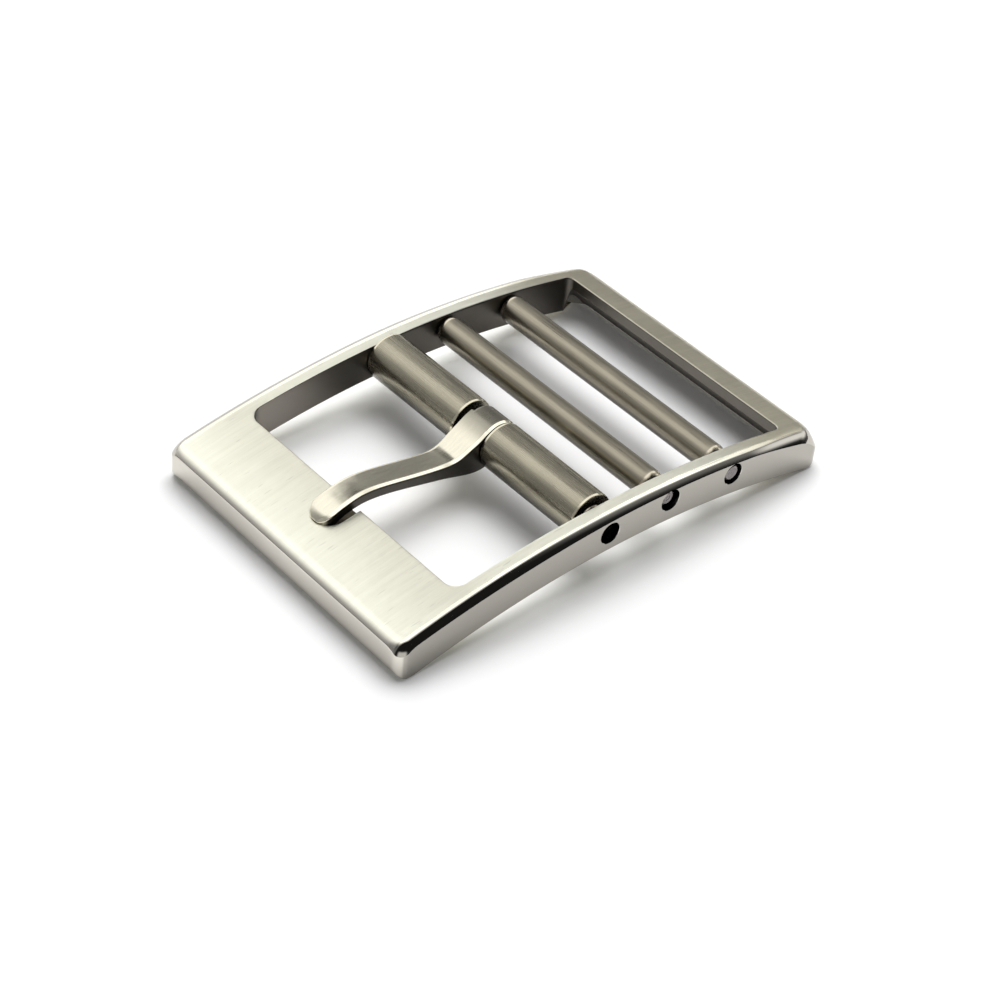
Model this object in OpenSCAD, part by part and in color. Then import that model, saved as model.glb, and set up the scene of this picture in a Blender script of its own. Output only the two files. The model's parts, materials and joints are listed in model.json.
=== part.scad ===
// Tang buckle for a watch strap: an arched frame, a swinging tang, two loose tubes and three spring bars.
// X runs across the strap, the wide plate is at the front (-Y), and the buckle stands on Z = 0.

/* [Frame] */
// Width of the frame across the strap
frame_w = 24; // [22:0.5:27]
// Length of the frame along the strap
frame_l = 36.4; // [35.2:0.2:39]
// Width of each side rail
rail_w = 1.5; // [1.2:0.1:1.8]
// Length of the wide front plate, along the strap
plate_l = 5.35; // [4.9:0.05:5.8]
// Length of the rear bar, along the strap
rear_l = 2.9; // [2.3:0.1:3.5]
// Height of the frame's top at its crown
crown_h = 4.8; // [4.6:0.05:5.2]
// Radius of the arched top
crown_r = 77; // [70:1:90]
// How far behind the middle the crown lies
crown_y = 0.5; // [0:0.1:1]
// Thickness of the frame at its crown
frame_t = 2.65; // [2.5:0.05:2.9]
// Length of each end, up to the arch underneath
foot_l = 1.2; // [1:0.1:1.6]
// Radius of the lower edge of each end
foot_r = 0.8; // [0.4:0.1:0.9]
// Radius of the rolled nose at the front
nose_r = 1.5; // [1.2:0.1:1.8]
// How far behind the front face the middle of that nose lies
nose_in = 1.15; // [0.9:0.05:1.2]
// Radius of the polished roll along each rail's outer edge
roll_r = 0.8; // [0.7:0.05:1.2]
// How far the roll reaches in from the rail's side
roll_w = 0.5; // [0.3:0.05:0.7]
// Radius of the rear top edge
tail_r = 1.7; // [1.2:0.1:2]
// Radius of the front corners, seen from above
front_corner_r = 0.5; // [0.3:0.1:1]
// Radius of the rear corners, seen from above
rear_corner_r = 1.1; // [0.3:0.1:1.4]
// Radius of the window's corners beside the plate
window_front_r = 1; // [0.6:0.1:1.6]
// Radius of the window's corners beside the rear bar
window_rear_r = 0.8; // [0.4:0.1:1.4]

/* [Bar places] */
// From the rear bar of the frame to the rear strap bar
rear_reach = 5.8; // [5.4:0.1:6]
// From the rear strap bar to the middle strap bar
rear_pitch = 5.7; // [5.4:0.1:6]
// From the middle strap bar to the tang bar
middle_pitch = 5.2; // [5:0.1:5.6]
// How deep the tang bar lies below the top of the rails
tang_bar_depth = 1.25; // [1.15:0.05:1.4]
// How deep the middle bar lies below the top of the rails
middle_bar_depth = 1.03; // [0.95:0.01:1.3]
// How deep the rear bar lies below the top of the rails
rear_bar_depth = 1.1; // [0.95:0.05:1.3]

/* [Spring bars] */
// Radius of a bar's barrel
barrel_r = 1; // [0.9:0.02:1.1]
// Wall of a barrel
barrel_wall = 0.22; // [0.18:0.01:0.26]
// Gap between a barrel's end and the rail
end_gap = 0.1; // [0.05:0.01:0.2]
// How far a barrel's end is drawn in round the tip
barrel_chamfer = 0.17; // [0.1:0.01:0.2]
// Length of that drawn end
barrel_chamfer_l = 0.5; // [0.2:0.1:0.8]
// Radius of a bar's tip
tip_r = 0.6; // [0.5:0.02:0.65]
// Length of the narrow mouth at each end of a barrel
mouth_l = 0.5; // [0.3:0.1:0.8]
// Length of the collar that keeps a tip in its barrel
collar_l = 1; // [0.6:0.1:1.5]
// How deep the tang bar's tips lie in the rails
tang_tip_sink = 0.9; // [0.7:0.05:1]
// How deep the middle bar's tips lie in the rails
middle_tip_sink = 0.3; // [0.1:0.05:0.6]
// How deep the rear bar's tips lie in the rails
rear_tip_sink = 0.12; // [0.05:0.01:0.6]
// Wire of the coil spring inside a barrel
wire_d = 0.24; // [0.2:0.02:0.3]
// Turns of the coil spring
coil_turns = 12; // [8:1:14]

/* [Tang and tubes] */
// Wall of the tubes on the tang bar
tube_wall = 0.65; // [0.5:0.05:0.75]
// Play of each tube along the bar, on each side
tube_play = 0.22; // [0.16:0.02:0.4]
// Width of the tang's knuckle
knuckle_w = 2.4; // [2.2:0.1:3]
// Width of the tang's prong
prong_w = 2; // [1.6:0.1:2.2]
// How far the tang's tip reaches over the front plate
tip_over = 2.7; // [2.4:0.1:3]
// Thickness of the tang's tip
tip_t = 0.8; // [0.7:0.05:0.9]
// Depth of the tang's seat at the plate's inner edge
seat_depth = 0.55; // [0.5:0.05:0.7]
// Gap between the tang and the sides of its seat
seat_gap = 0.3; // [0.2:0.05:0.5]

/* [Fits] */
// Radial gap of everything that turns or slides
fit_gap = 0.05; // [0.03:0.01:0.08]
// Radial gap round a tip in its counterbore
counterbore_gap = 0.25; // [0.15:0.05:0.3]
// Length of a rail's narrow bore, inside its counterbore
bore_l = 0.6; // [0.4:0.05:0.7]

/* [Hidden] */

round_fn = 96;
arc_fn = 360;
overrun = 1;
touch_gap = 0.02;

window_w = frame_w - 2 * rail_w;
front_y = -frame_l / 2;
rear_y = frame_l / 2;
window_front_y = front_y + plate_l;
window_rear_y = rear_y - rear_l;
arch_h = crown_h - frame_t;

// Radius of the arch underneath, and the height of the arched top at one place along the strap
arch_r = (pow(frame_l / 2 - foot_l, 2) + pow(arch_h, 2)) / (2 * arch_h);
function top_z(y) = crown_h - crown_r + sqrt(pow(crown_r, 2) - pow(y - crown_y, 2));

// The nose and the tail touch the arched top from inside, each at its own end
nose_y = front_y + nose_in;
nose_z = crown_h - crown_r + sqrt(pow(crown_r - nose_r, 2) - pow(nose_y - crown_y, 2));
nose_end_y = nose_y + (nose_y - crown_y) * nose_r / (crown_r - nose_r);
tail_y = rear_y - tail_r;
tail_z = crown_h - crown_r + sqrt(pow(crown_r - tail_r, 2) - pow(tail_y - crown_y, 2));
tail_end_y = tail_y + (tail_y - crown_y) * tail_r / (crown_r - tail_r);

rear_bar_y = window_rear_y - rear_reach;
middle_bar_y = rear_bar_y - rear_pitch;
tang_bar_y = middle_bar_y - middle_pitch;
tang_bar_z = top_z(tang_bar_y) - tang_bar_depth;
middle_bar_z = top_z(middle_bar_y) - middle_bar_depth;
rear_bar_z = top_z(rear_bar_y) - rear_bar_depth;
bar_places = [[tang_bar_y, tang_bar_z], [middle_bar_y, middle_bar_z], [rear_bar_y, rear_bar_z]];

barrel_l = window_w - 2 * end_gap;
barrel_bore_r = barrel_r - barrel_wall;
mouth_r = tip_r + fit_gap;
collar_r = barrel_bore_r - fit_gap;
tip_chamfer = 0.08;
counterbore_r = tip_r + counterbore_gap;
spring_l = barrel_l - 2 * (mouth_l + collar_l + 2 * touch_gap);
coil_r = collar_r - wire_d / 2;

tube_bore_r = barrel_r + fit_gap;
tube_r = tube_bore_r + tube_wall;
tube_l = (window_w - knuckle_w) / 2 - 2 * tube_play;
// The tubes have slid to the left by this share of their play
tube_shift_share = 0.75;
tube_x = (knuckle_w + tube_l) / 2 + tube_play;
tube_shift = -tube_shift_share * tube_play;
rim_chamfer = 0.1;

knuckle_r = tube_r - touch_gap;
// The tang's arm, from the bar to the plate's inner edge: along that stretch, and above the straight
// line from the bar's axis to the plate's top edge, in knuckle radii
arm_top_shares = [
    [0.037, 0.958], [0.074, 0.857], [0.105, 0.725], [0.135, 0.591], [0.207, 0.311], [0.250, 0.145],
    [0.285, 0.035], [0.315, -0.022], [0.345, -0.042], [0.380, -0.030], [0.430, 0.005], [0.544, 0.125],
    [0.674, 0.283], [0.779, 0.410], [0.866, 0.490], [0.910, 0.510], [0.950, 0.511], [0.985, 0.492]
];
arm_under_shares = [
    [0.965, 0.045], [0.921, 0.054], [0.870, 0.033], [0.779, -0.057], [0.670, -0.200], [0.559, -0.369],
    [0.261, -0.815], [0.190, -0.900], [0.124, -0.954], [0.060, -0.985], [0.017, -0.994]
];
// The tang's tip, over the plate: along its reach, and above the plate's top, in thicknesses of the tip
tip_top_shares = [
    [0.100, 0.990], [0.240, 0.970], [0.373, 0.936], [0.510, 0.885], [0.634, 0.818], [0.740, 0.740],
    [0.830, 0.650], [0.905, 0.530], [0.955, 0.410], [0.985, 0.300], [1.000, 0.180]
];
tip_under_shares = [
    [1.000, -0.050], [0.985, -0.160], [0.960, -0.250], [0.922, -0.311], [0.850, -0.350], [0.765, -0.335],
    [0.620, -0.230], [0.478, -0.109], [0.300, -0.015], [0.112, 0.038]
];
contact_share = tip_under_shares[3];
tang_arm = tang_bar_y - window_front_y;
tang_rise = top_z(window_front_y) - tang_bar_z;
function arm_point(p) = [tang_bar_y - p[0] * tang_arm, tang_bar_z + p[0] * tang_rise + p[1] * knuckle_r];
function tip_point(p) =
    let (y = window_front_y - p[0] * tip_over)
    [y, top_z(y) + p[1] * tip_t];
tang_profile = concat(
    [for (p = arm_top_shares) arm_point(p)],
    [for (p = tip_top_shares) tip_point(p)],
    [for (p = tip_under_shares) tip_point(p)],
    [for (p = arm_under_shares) arm_point(p)]
);
// Where the prong starts to widen towards the knuckle, and where it has the knuckle's width
flare_shares = [0.4, 0.16];
tip_y = window_front_y - tip_over;

seat_contact_y = tip_point(contact_share)[0];
seat_contact_z = tip_point(contact_share)[1] - touch_gap;
seat_edge_z = top_z(window_front_y) - seat_depth;
seat_slope = (seat_edge_z - seat_contact_z) / (window_front_y - seat_contact_y);
seat_half_w = prong_w / 2 + seat_gap;
seat_end_y = tip_y - seat_gap;

steel = [0.80, 0.79, 0.74];
satin_steel = [0.69, 0.67, 0.60];
dark_steel = [0.45, 0.44, 0.42];

// A rectangle with its own corner radius at the front and at the rear, made of plain discs and squares
module rounded_plan(w, y_front, y_rear, r_front, r_rear) {
    for (side = [-1, 1]) {
        translate([side * (w / 2 - r_front), y_front + r_front])
            circle(r = r_front, $fn = round_fn);
        translate([side * (w / 2 - r_rear), y_rear - r_rear])
            circle(r = r_rear, $fn = round_fn);
    }
    translate([-w / 2, y_front + r_front])
        square([w, y_rear - y_front - r_front - r_rear]);
    translate([-w / 2 + r_front, y_front])
        square([w - 2 * r_front, r_front]);
    translate([-w / 2 + r_rear, y_rear - r_rear])
        square([w - 2 * r_rear, r_rear]);
}

// Turns a side view, drawn as Y and Z, into a slab across the strap
module across(w) {
    rotate([90, 0, 90])
        linear_extrude(height = w, center = true)
            children();
}

// Turns a solid drawn about Z to lie about X
module along_x() {
    rotate([0, 90, 0])
        children();
}

module at_bar(i) {
    translate([0, bar_places[i][0], bar_places[i][1]])
        children();
}

// Side view of the frame: arch underneath, rolled nose, rounded tail, and feet with a rounded lower edge
module side_view() {
    difference() {
        translate([front_y, 0])
            square([frame_l, crown_h + overrun]);
        translate([0, arch_h - arch_r])
            circle(r = arch_r, $fn = arc_fn);
        difference() {
            translate([front_y - overrun, nose_z])
                square([nose_end_y - front_y + overrun, crown_h + overrun]);
            translate([nose_y, nose_z])
                circle(r = nose_r, $fn = round_fn);
        }
        difference() {
            translate([tail_end_y, tail_z])
                square([rear_y - tail_end_y + overrun, crown_h + overrun]);
            translate([tail_y, tail_z])
                circle(r = tail_r, $fn = round_fn);
        }
        for (side = [-1, 1])
            difference() {
                translate([side * (frame_l / 2 - foot_r / 2 + overrun / 2), (foot_r - overrun) / 2])
                    square([foot_r + overrun, foot_r + overrun], center = true);
                translate([side * (frame_l / 2 - foot_r), foot_r])
                    circle(r = foot_r, $fn = round_fn);
            }
    }
}

// The arched slab, as a wheel rim about the arch's centre, with a roll along each upper edge.
// The roll is wider than the slab there, and the plan cuts it off at the rail's side.
module arched_rim() {
    flat_half = frame_w / 2 - roll_w;
    translate([0, crown_y, crown_h - crown_r])
        along_x()
            rotate_extrude($fn = arc_fn) {
                translate([0, -flat_half - roll_r])
                    square([crown_r - roll_r, 2 * (flat_half + roll_r)]);
                translate([0, -flat_half])
                    square([crown_r, 2 * flat_half]);
                for (side = [-1, 1])
                    translate([crown_r - roll_r, side * flat_half])
                        circle(r = roll_r, $fn = round_fn);
            }
}

module window() {
    translate([0, 0, -overrun])
        linear_extrude(height = crown_h + 2 * overrun)
            rounded_plan(window_w, window_front_y, window_rear_y, window_front_r, window_rear_r);
}

module bar_holes() {
    for (i = [0 : len(bar_places) - 1])
        at_bar(i) {
            along_x()
                cylinder(h = frame_w + 2 * overrun, r = mouth_r, center = true, $fn = round_fn);
            for (side = [-1, 1])
                translate([side * (window_w / 2 + bore_l + rail_w / 2), 0, 0])
                    along_x()
                        cylinder(h = rail_w, r = counterbore_r, center = true, $fn = round_fn);
        }
}

// The pocket in the plate that the tang's tip lies in: a flat floor with a round end
module tang_seat() {
    intersection() {
        linear_extrude(height = crown_h + overrun) {
            translate([0, seat_end_y + seat_half_w])
                circle(r = seat_half_w, $fn = round_fn);
            translate([-seat_half_w, seat_end_y + seat_half_w])
                square([2 * seat_half_w, window_front_y + overrun - seat_end_y - seat_half_w]);
        }
        across(frame_w)
            polygon([
                [front_y, seat_contact_z + seat_slope * (front_y - seat_contact_y)],
                [window_front_y + overrun, seat_edge_z + seat_slope * overrun],
                [window_front_y + overrun, crown_h + overrun],
                [front_y, crown_h + overrun]
            ]);
    }
}

module frame() {
    color(steel)
        difference() {
            intersection() {
                arched_rim();
                across(frame_w + 2 * overrun)
                    side_view();
                linear_extrude(height = crown_h + overrun)
                    rounded_plan(frame_w, front_y, rear_y, front_corner_r, rear_corner_r);
            }
            window();
            tang_seat();
            bar_holes();
        }
}

// The prong seen from above: straight, with a round tip, widening to the knuckle
module prong_plan() {
    flare_y = [for (s = flare_shares) tang_bar_y - s * tang_arm];
    translate([0, tip_y + prong_w / 2])
        circle(r = prong_w / 2, $fn = round_fn);
    polygon([
        [-prong_w / 2, tip_y + prong_w / 2], [prong_w / 2, tip_y + prong_w / 2],
        [prong_w / 2, flare_y[0]], [knuckle_w / 2, flare_y[1]], [knuckle_w / 2, tang_bar_y],
        [-knuckle_w / 2, tang_bar_y], [-knuckle_w / 2, flare_y[1]], [-prong_w / 2, flare_y[0]]
    ]);
}

module tang() {
    color(steel)
        difference() {
            union() {
                at_bar(0)
                    along_x()
                        cylinder(h = knuckle_w, r = knuckle_r, center = true, $fn = round_fn);
                intersection() {
                    across(knuckle_w)
                        polygon(concat(tang_profile, [[tang_bar_y, tang_bar_z]]));
                    linear_extrude(height = tang_bar_z + tube_r + overrun)
                        prong_plan();
                }
            }
            at_bar(0)
                along_x()
                    cylinder(h = knuckle_w + 2 * overrun, r = tube_bore_r, center = true, $fn = round_fn);
        }
}

// A loose tube on the tang bar, with a small chamfer on each outer rim
module tube(side) {
    half = tube_l / 2;
    color(satin_steel)
        translate([side * tube_x + tube_shift, 0, 0])
            at_bar(0)
                along_x()
                    rotate_extrude($fn = round_fn)
                        polygon([
                            [tube_bore_r, -half], [tube_r - rim_chamfer, -half],
                            [tube_r, -half + rim_chamfer], [tube_r, half - rim_chamfer],
                            [tube_r - rim_chamfer, half], [tube_bore_r, half]
                        ]);
}

// The barrel of a spring bar: a tube with a narrow mouth at each end that keeps the tips in
module barrel(i) {
    half = barrel_l / 2;
    inner = half - mouth_l;
    color(satin_steel)
        at_bar(i)
            along_x()
                rotate_extrude($fn = round_fn)
                    polygon([
                        [mouth_r, -half], [barrel_r - barrel_chamfer, -half],
                        [barrel_r, -half + barrel_chamfer_l], [barrel_r, half - barrel_chamfer_l],
                        [barrel_r - barrel_chamfer, half], [mouth_r, half],
                        [mouth_r, inner], [barrel_bore_r, inner],
                        [barrel_bore_r, -inner], [mouth_r, -inner]
                    ]);
}

// One tip of a spring bar: a pin that stands in the rail, and a collar behind the barrel's mouth
module tip(i, side, sink) {
    pin_end = frame_w / 2 - sink;
    collar_end = barrel_l / 2 - mouth_l - touch_gap;
    color(dark_steel)
        at_bar(i)
            mirror([side < 0 ? 1 : 0, 0, 0])
                along_x()
                    rotate_extrude($fn = round_fn)
                        polygon([
                            [0, collar_end - collar_l], [collar_r, collar_end - collar_l],
                            [collar_r, collar_end], [tip_r, collar_end],
                            [tip_r, pin_end - tip_chamfer], [tip_r - tip_chamfer, pin_end], [0, pin_end]
                        ]);
}

// The coil spring that pushes both tips out: a round wire wound at a steady pitch
module spring(i) {
    rings_per_turn = 8;
    sides = 5;
    rings = coil_turns * rings_per_turn;
    pitch = (spring_l - wire_d) / coil_turns;
    points = [for (k = [0 : rings], s = [0 : sides - 1])
        let (
            turn = 360 * k / rings_per_turn,
            around = 360 * s / sides,
            r = coil_r + wire_d / 2 * cos(around)
        )
        [
            (k / rings_per_turn - coil_turns / 2) * pitch + wire_d / 2 * sin(around),
            r * cos(turn),
            r * sin(turn)
        ]];
    walls = [for (k = [0 : rings - 1], s = [0 : sides - 1])
        let (a = k * sides + s, b = k * sides + (s + 1) % sides)
        each [[a, a + sides, b], [b, a + sides, b + sides]]];
    caps = [for (s = [1 : sides - 2]) each [
        [0, s, s + 1],
        [rings * sides, rings * sides + s + 1, rings * sides + s]
    ]];
    color(dark_steel)
        at_bar(i)
            polyhedron(points = points, faces = concat(walls, caps));
}

frame();
tang();
tube(-1);  // tube_left
tube(1);  // tube_right
barrel(0);  // tang_bar_barrel
tip(0, -1, tang_tip_sink);  // tang_bar_tip_left
tip(0, 1, tang_tip_sink);  // tang_bar_tip_right
spring(0);  // tang_bar_spring
barrel(1);  // middle_bar_barrel
tip(1, -1, middle_tip_sink);  // middle_bar_tip_left
tip(1, 1, middle_tip_sink);  // middle_bar_tip_right
spring(1);  // middle_bar_spring
barrel(2);  // rear_bar_barrel
tip(2, -1, rear_tip_sink);  // rear_bar_tip_left
tip(2, 1, rear_tip_sink);  // rear_bar_tip_right
spring(2);  // rear_bar_spring
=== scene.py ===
import json
import math
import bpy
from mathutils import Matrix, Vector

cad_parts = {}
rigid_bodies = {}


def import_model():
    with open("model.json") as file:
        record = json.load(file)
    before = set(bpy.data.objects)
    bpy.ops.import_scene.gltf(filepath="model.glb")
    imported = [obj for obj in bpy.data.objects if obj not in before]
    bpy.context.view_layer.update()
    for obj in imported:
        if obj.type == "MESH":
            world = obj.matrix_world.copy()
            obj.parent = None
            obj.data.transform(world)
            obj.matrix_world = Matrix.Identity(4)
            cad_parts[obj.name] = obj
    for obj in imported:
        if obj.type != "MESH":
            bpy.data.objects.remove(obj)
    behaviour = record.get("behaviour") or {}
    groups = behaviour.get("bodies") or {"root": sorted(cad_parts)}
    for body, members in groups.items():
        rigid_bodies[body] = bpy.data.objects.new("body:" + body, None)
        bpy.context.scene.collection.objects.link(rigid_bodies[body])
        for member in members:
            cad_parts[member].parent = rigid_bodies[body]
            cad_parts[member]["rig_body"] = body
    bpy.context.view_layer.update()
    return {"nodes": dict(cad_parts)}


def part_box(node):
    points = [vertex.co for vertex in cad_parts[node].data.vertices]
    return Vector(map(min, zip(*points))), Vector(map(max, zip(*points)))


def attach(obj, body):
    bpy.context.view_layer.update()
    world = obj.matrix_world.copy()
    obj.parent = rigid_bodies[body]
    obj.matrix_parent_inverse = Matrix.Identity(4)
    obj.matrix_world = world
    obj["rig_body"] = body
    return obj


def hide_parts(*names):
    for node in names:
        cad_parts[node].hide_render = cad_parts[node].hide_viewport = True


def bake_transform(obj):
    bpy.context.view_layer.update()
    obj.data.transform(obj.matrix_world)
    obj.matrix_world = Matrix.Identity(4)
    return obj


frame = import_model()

from types import SimpleNamespace

import bpy
import numpy as np
from bpy.props import FloatProperty, FloatVectorProperty, IntProperty, PointerProperty
from mathutils import Matrix, Vector

bl_info = {
    "name": "Watch tang buckle",
    "version": (1, 0, 0),
    "blender": (4, 5, 0),
    "location": "3D View > Sidebar > Buckle",
    "description": "Dresses the arched buckle frame, its tang, tubes and spring bars in steel",
    "category": "Object",
}

MM = 0.001


def cad_box(node):
    """Lowest and highest corner of a CAD node, in millimetres."""
    low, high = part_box(node)
    return np.array(low) / MM, np.array(high) / MM


FRAME_LOW, FRAME_HIGH = cad_box("frame")
BARS = ("tang_bar", "middle_bar", "rear_bar")


def bar_axis(bar):
    """Y and Z of a bar's axis, in millimetres, from the box of its barrel."""
    low, high = cad_box(bar + "_barrel")
    return (low[1] + high[1]) / 2, (low[2] + high[2]) / 2


# Sizes and colours


def length(name, text, value):
    """A length property in metres whose default is given in millimetres."""
    return FloatProperty(name=name, description=text, default=value * MM, unit="LENGTH", precision=5)


def angle(name, text, value):
    """An angle property whose default is given in degrees."""
    return FloatProperty(name=name, description=text, default=math.radians(value), subtype="ANGLE")


def colour(name, text, value):
    """A linear colour property."""
    return FloatVectorProperty(
        name=name, description=text, default=value, size=3, min=0, max=1, subtype="COLOR")


class BuckleFrameSizes(bpy.types.PropertyGroup):
    """The frame's outline, arch, edges, holes and seat."""

    plate_l: length("Plate length", "Length of the wide front plate along the strap", 5.35)
    rear_l: length("Rear bar length", "Its length along the strap", 2.9)
    rail_w: length("Rail width", "Width of each side rail", 1.5)
    crown_r: length("Crown radius", "Radius of the arched top", 77.0)
    crown_y: length("Crown place", "How far behind the middle the crown lies", 0.5)
    thickness: length("Thickness", "Thickness of the frame at its crown", 2.65)
    foot_l: length("Foot length", "Length of each end, up to the arch underneath", 1.2)
    foot_r: length("Foot radius", "Radius of the lower edge of the front end", 0.8)
    rear_foot_r: length("Rear foot radius", "Radius of the lower edge of the rear end", 1.2)
    rear_slope: length("Rear bar's slope", "Length and drop of the slope under the rear bar", 2.1)
    nose_r: length("Nose radius", "Radius of the rolled nose at the front", 1.5)
    nose_in: length("Nose place", "How far behind the front face the middle of that nose lies", 1.15)
    nose_edge_r: length("Nose edge", "Rounding of the edge between the nose and the front face", 0.16)
    tail_r: length("Tail radius", "Radius of the rear top edge", 1.7)
    front_corner_r: length("Front corners", "Their radius seen from above", 0.75)
    rear_corner_r: length("Rear corners", "Their radius seen from above", 0.95)
    front_corner_drop: length("Front corner drop", "How far the top falls towards them", 0.6)
    front_corner_l: length("Front corner reach", "Distance at which that fall starts", 1.4)
    rear_corner_drop: length("Rear corner drop", "How far the top falls towards them", 0.95)
    rear_corner_l: length("Rear corner reach", "Distance at which that fall starts", 2.3)
    window_front_r: length("Window front corners", "Their radius beside the plate", 1.0)
    window_rear_r: length("Window rear corners", "Their radius at the rear bar", 0.5)
    roll_front_w: length("Roll width, front", "How far it reaches in at the front", 0.85)
    roll_rear_w: length("Roll width, rear", "How far it reaches in at the rear", 0.82)
    roll_front_h: length("Roll drop, front", "How far it falls along the front half", 0.38)
    roll_rear_h: length("Roll drop, rear", "How far it falls along the rear half", 0.29)
    roll_end_w: length("Roll width, corners", "How much wider the roll gets towards the rear corners", 0.3)
    roll_end_h: length("Roll drop, corners", "How much further it falls towards the rear corners", 0.30)
    inner_r: length("Inner edge", "Rounding of the window's top edge", 0.12)
    under_r: length("Lower edge", "Rounding of the lower edges", 0.1)
    bore_r: length("Bore radius", "Radius of the narrow bore in the rail", 0.65)
    mouth_r: length("Mouth radius", "Radius of the hole's wide outer part", 0.77)
    mouth_l: length("Mouth depth", "Depth of the hole's wide outer part", 0.9)
    mouth_chamfer: length("Mouth chamfer", "Chamfer round the mouth of each hole", 0.035)
    seat_half_w: length("Seat half width", "Half the width of the tang's seat", 1.3)
    seat_end: length("Seat end", "From the plate's inner edge to its end", 2.62)
    seat_depth: length("Seat depth", "Its depth at the plate's inner edge", 0.55)
    seat_end_depth: length("Seat end depth", "Its depth at its round end", 0.22)
    seat_round: length("Seat edge", "Rounding of the seat's upper edge", 0.06)


class BuckleTangSizes(bpy.types.PropertyGroup):
    """The tang's knuckle, prong and bevels."""

    knuckle_half_w: length("Knuckle half width", "Half the width of the knuckle", 1.2)
    knuckle_left_w: length("Knuckle, left side", "How far it reaches left of its middle", 1.06)
    knuckle_left_r: length("Knuckle, left edge", "Rounding of the knuckle's left edge", 0.22)
    knuckle_right_r: length("Knuckle, right edge", "Rounding of the knuckle's right edge", 0.06)
    knuckle_r: length("Knuckle radius", "Outer radius of the knuckle", 1.68)
    bore_r: length("Bore radius", "Radius of the knuckle's bore", 1.05)
    bore_chamfer: length("Bore chamfer", "Chamfer at the ends of that bore", 0.03)
    prong_half_w: length("Prong half width", "Half the width of the prong", 1.0)
    tip_over: length("Tip over the plate", "How far the tip reaches over the plate", 2.7)
    tip_t: length("Tip thickness", "Height of the tip's upper line over the plate where the tip starts", 0.8)
    bevel: length("Bevel", "Width of the bevel along the tang's right upper edge", 0.19)
    bevel_angle: angle("Bevel angle", "How far that bevel leans from the top", 15)


class BuckleBarSizes(bpy.types.PropertyGroup):
    """The tubes and the spring bars."""

    tube_r: length("Tube radius", "Outer radius of the loose tubes", 1.7)
    tube_bore_r: length("Tube bore", "Radius of the tubes' bore", 1.05)
    tube_edge: length("Tube edge", "Rounding of the edge round each end of a tube", 0.05)
    rim: length("Tube rim", "Width of the bright bevel round each end of a tube", 0.13)
    rim_angle: angle("Rim angle", "How far that bevel leans from the tube", 13)
    barrel_r: length("Barrel radius", "Outer radius of a bar's barrel", 1.0)
    barrel_bore_r: length("Barrel bore", "Radius of a barrel's bore", 0.78)
    barrel_mouth_r: length("Barrel mouth", "Radius of a barrel's narrow mouth", 0.65)
    barrel_mouth_l: length("Mouth length", "Length of a barrel's narrow mouth", 0.5)
    tip_r: length("Tip radius", "Radius of a bar's tip", 0.6)
    collar_r: length("Collar radius", "Radius of the collar behind the mouth", 0.73)
    collar_l: length("Collar length", "Length of the collar", 1.0)
    collar_edge: length("Collar edge", "Chamfer of the collar's edges", 0.05)
    wire_d: length("Wire", "Thickness of the coil spring's wire", 0.24)
    coil_turns: IntProperty(name="Coil turns", description="Turns of each coil spring", default=12, min=1)


class BuckleFinish(bpy.types.PropertyGroup):
    """Colours and brush marks of the steel, with the colours of its painted shade."""

    brushed: colour("Brushed top", "Steel of the frame's brushed top", (0.88, 0.86, 0.72))
    # A darker colour of the brushed steel, painted shade over the rear bar and the rails' rear ends
    rear: colour("Rear bar", "Steel of the frame's rear bar and of the rails' rear ends", (0.62, 0.58, 0.45))
    polished: colour("Polished sides", "Steel of the frame's polished sides", (0.53, 0.505, 0.455))
    # The dark colour of the painted shade on the window's walls, the seat's floor and the tang's sides
    raw: colour("Raw walls", "Raw steel of the rails' inner walls and the tang's sides", (0.17, 0.155, 0.135))
    # A near-black colour for the painted shade inside the rail holes
    bore: colour("Bores", "Dark steel inside the rail holes", (0.03, 0.028, 0.025))
    tang: colour("Tang", "Polished steel of the tang", (0.80, 0.76, 0.62))
    tube: colour("Tubes", "Satin steel of the loose tubes", (0.42, 0.39, 0.30))
    barrel: colour("Barrels", "Satin steel of the bars", (0.38, 0.345, 0.27))
    tip: colour("Tips", "Turned steel of the bars' tips", (0.19, 0.175, 0.175))
    wire: colour("Wire", "Drawn steel of the springs", (0.50, 0.49, 0.46))
    brush_w: length("Brush line", "Width of one brush line", 0.055)
    brush_l: length("Brush length", "Length of one brush line", 2.6)
    brush_d: length("Brush depth", "Depth of the brush lines", 0.013)


class BuckleStageSizes(bpy.types.PropertyGroup):
    """The camera, floor and light."""

    azimuth: angle("Azimuth", "Camera azimuth", 45.755)
    elevation: angle("Elevation", "Camera elevation", 39.829)
    roll: angle("Roll", "Camera roll", 5.872)
    distance: length("Distance", "Distance of the camera", 166.147)
    across: length("Across", "Shift of the camera to its right", 0.148)
    upward: length("Upward", "Shift of the camera upward", -2.033)
    behind: length("Behind", "Shift of the camera towards the buckle's front", 0.1)
    focal: FloatProperty(name="Focal length", description="Focal length on a 36 mm sensor", default=90.195)
    floor_size: length("Floor", "Half the side of the floor", 900.0)
    floor: colour("Floor colour", "Colour of the floor", (0.90, 0.90, 0.90))


class BuckleSettings(bpy.types.PropertyGroup):
    """All sizes and colours of the buckle."""

    frame: PointerProperty(type=BuckleFrameSizes)
    tang: PointerProperty(type=BuckleTangSizes)
    bars: PointerProperty(type=BuckleBarSizes)
    finish: PointerProperty(type=BuckleFinish)
    stage: PointerProperty(type=BuckleStageSizes)


def sizes(part):
    """One part's settings as plain values, with its lengths in millimetres."""
    group = getattr(bpy.context.scene.buckle, part)
    values = {key: getattr(group, key) for key in group.__annotations__}
    for key in values:
        if getattr(group.bl_rna.properties[key], "unit", "") == "LENGTH":
            values[key] /= MM
    return SimpleNamespace(**values)


# Surfaces


def linked(name, data):
    """A new object with that data, linked to the scene."""
    obj = bpy.data.objects.new(name, data)
    bpy.context.scene.collection.objects.link(obj)
    return obj


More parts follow.
